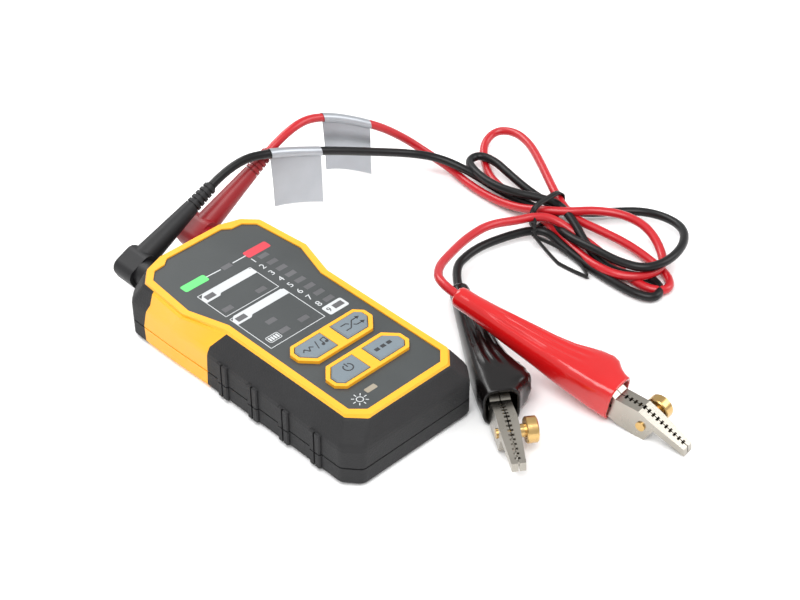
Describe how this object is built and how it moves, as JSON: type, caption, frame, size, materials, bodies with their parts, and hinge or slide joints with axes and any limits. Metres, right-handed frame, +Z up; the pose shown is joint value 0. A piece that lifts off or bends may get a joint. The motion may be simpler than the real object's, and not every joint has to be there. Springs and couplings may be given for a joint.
{
  "type": "tone generator with clip leads",
  "caption": "Hand-held cable tone generator with a rubber-armoured case, sealed keys and a tied pair of plug-in leads that end in sprung alligator clips with vinyl boots.",
  "frame": {"origin": "under the middle of the toner's case, on the table it lies on", "axes": "+Z up out of the face, +Y towards the end with the sockets, +X to the right of the face as it is read"},
  "size_m": [0.2073, 0.2193, 0.0441],
  "materials": {
    "yellow_plastic": "satin moulded ABS with a fine texture",
    "black_rubber": "matt overmoulded elastomer, finely textured",
    "face_plastic": "satin printed face film",
    "window_plastic": "smoked satin lens",
    "button_rubber": "satin silicone keys",
    "circuit_laminate": "solder-masked laminate",
    "black_moulding": "satin moulding",
    "red_moulding": "satin moulding",
    "led_resin": "clear resin",
    "battery_wrap": "plain printed wrap",
    "gold_contacts": "plated contacts",
    "steel": "nickel-plated steel",
    "door_plastic": "satin moulded ABS",
    "black_plug_plastic": "satin moulded vinyl",
    "red_plug_plastic": "satin moulded vinyl",
    "red_lead_skin": "soft glossy silicone lead",
    "black_lead_skin": "soft glossy silicone lead",
    "tie_plastic": "paper-thin vinyl over wire",
    "tag_foil": "satin silver film",
    "black_boot_vinyl": "glossy dipped vinyl",
    "red_boot_vinyl": "glossy dipped vinyl",
    "clip_steel": "nickel-plated pressed steel",
    "spring_steel": "spring wire",
    "clip_brass": "turned brass"
  },
  "bodies": {
    "toner": {"battery_9v": "battery_wrap", "battery_contacts": "steel", "black_cable_end": "black_lead_skin", "black_cable_out": "black_lead_skin", "black_clip_boot": "black_boot_vinyl", "black_clip_fixed_jaw": "clip_steel", "black_clip_nail_bed": "clip_brass", "black_clip_pivot_pin": "clip_steel", "black_clip_spring": "spring_steel", "black_socket": "black_moulding", "black_socket_contact": "gold_contacts", "black_tag": "tag_foil", "buzzer": "black_moulding", "case_screws": "steel", "circuit_board": "circuit_laminate", "controller_chip": "black_moulding", "face_label": "face_plastic", "front_cover": "yellow_plastic", "front_end_cap": "black_rubber", "front_grip": "black_rubber", "lead_hank": "black_lead_skin", "light_windows": "window_plastic", "network_contacts": "gold_contacts", "network_socket": "black_moulding", "rear_cover": "yellow_plastic", "rear_end_cap": "black_rubber", "rear_grip": "black_rubber", "red_cable_end": "red_lead_skin", "red_cable_out": "red_lead_skin", "red_clip_boot": "red_boot_vinyl", "red_clip_fixed_jaw": "clip_steel", "red_clip_nail_bed": "clip_brass", "red_clip_pivot_pin": "clip_steel", "red_clip_spring": "spring_steel", "red_socket": "red_moulding", "red_socket_contact": "gold_contacts", "red_tag": "tag_foil", "status_leds": "led_resin", "tact_switches": "black_moulding", "twist_tie": "tie_plastic", "work_light_led": "led_resin"},
    "tone_key": {"tone_button": "button_rubber"},
    "sweep_key": {"sweep_button": "button_rubber"},
    "power_key": {"power_button": "button_rubber"},
    "mode_key": {"mode_button": "button_rubber"},
    "black_lead_plug": {"black_plug": "black_plug_plastic", "black_plug_pin": "steel"},
    "red_lead_plug": {"red_plug": "red_plug_plastic", "red_plug_pin": "steel"},
    "door": {"battery_door": "door_plastic"},
    "door_fixing": {"door_screw": "steel"},
    "black_open_jaw": {"black_clip_moving_jaw": "clip_steel"},
    "black_knob": {"black_clip_thumb_screw": "clip_brass"},
    "red_open_jaw": {"red_clip_moving_jaw": "clip_steel"},
    "red_knob": {"red_clip_thumb_screw": "clip_brass"}
  },
  "joints": [
    {"name": "tone_press", "type": "slide", "parent": "toner", "child": "tone_key", "axis": [0, 0, -1], "range_m": [0, 0.0006], "stiffness_N_per_m": 1200, "springref_m": -0.0002},
    {"name": "sweep_press", "type": "slide", "parent": "toner", "child": "sweep_key", "axis": [0, 0, -1], "range_m": [0, 0.0006], "stiffness_N_per_m": 1200, "springref_m": -0.0002},
    {"name": "power_press", "type": "slide", "parent": "toner", "child": "power_key", "axis": [0, 0, -1], "range_m": [0, 0.0006], "stiffness_N_per_m": 1200, "springref_m": -0.0002},
    {"name": "mode_press", "type": "slide", "parent": "toner", "child": "mode_key", "axis": [0, 0, -1], "range_m": [0, 0.0006], "stiffness_N_per_m": 1200, "springref_m": -0.0002},
    {"name": "black_plug_pull", "type": "slide", "parent": "toner", "child": "black_lead_plug", "axis": [0, 1, 0], "range_m": [0, 0.018]},
    {"name": "red_plug_pull", "type": "slide", "parent": "toner", "child": "red_lead_plug", "axis": [0, 1, 0], "range_m": [0, 0.018]},
    {"name": "door_lift", "type": "slide", "parent": "toner", "child": "door", "axis": [0, 0, -1], "range_m": [0, 0.012]},
    {"name": "door_screw_turn", "type": "hinge", "parent": "door", "child": "door_fixing", "pos_m": [0, -0.007, 0.002], "axis": [0, 0, 1], "continuous": true},
    {"name": "black_jaw_open", "type": "hinge", "parent": "toner", "child": "black_open_jaw", "pos_m": [0.03666, -0.06783, 0.00771], "axis": [0.0267, 0.0388, 0.9989], "range_deg": [0, 10], "stiffness_Nm_per_rad": 0.05, "springref_deg": -17.19},
    {"name": "black_knob_turn", "type": "hinge", "parent": "black_open_jaw", "child": "black_knob", "pos_m": [0.02391, -0.08639, 0.00797], "axis": [0.8241, -0.5664, 0], "continuous": true},
    {"name": "red_jaw_open", "type": "hinge", "parent": "toner", "child": "red_open_jaw", "pos_m": [0.06394, -0.09413, 0.01012], "axis": [0.0199, -0.1621, 0.9866], "range_deg": [0, 10], "stiffness_Nm_per_rad": 0.05, "springref_deg": -17.19},
    {"name": "red_knob_turn", "type": "hinge", "parent": "red_open_jaw", "child": "red_knob", "pos_m": [0.06663, -0.11603, 0.00566], "axis": [0.9925, 0.1219, 0], "continuous": true}
  ]
}
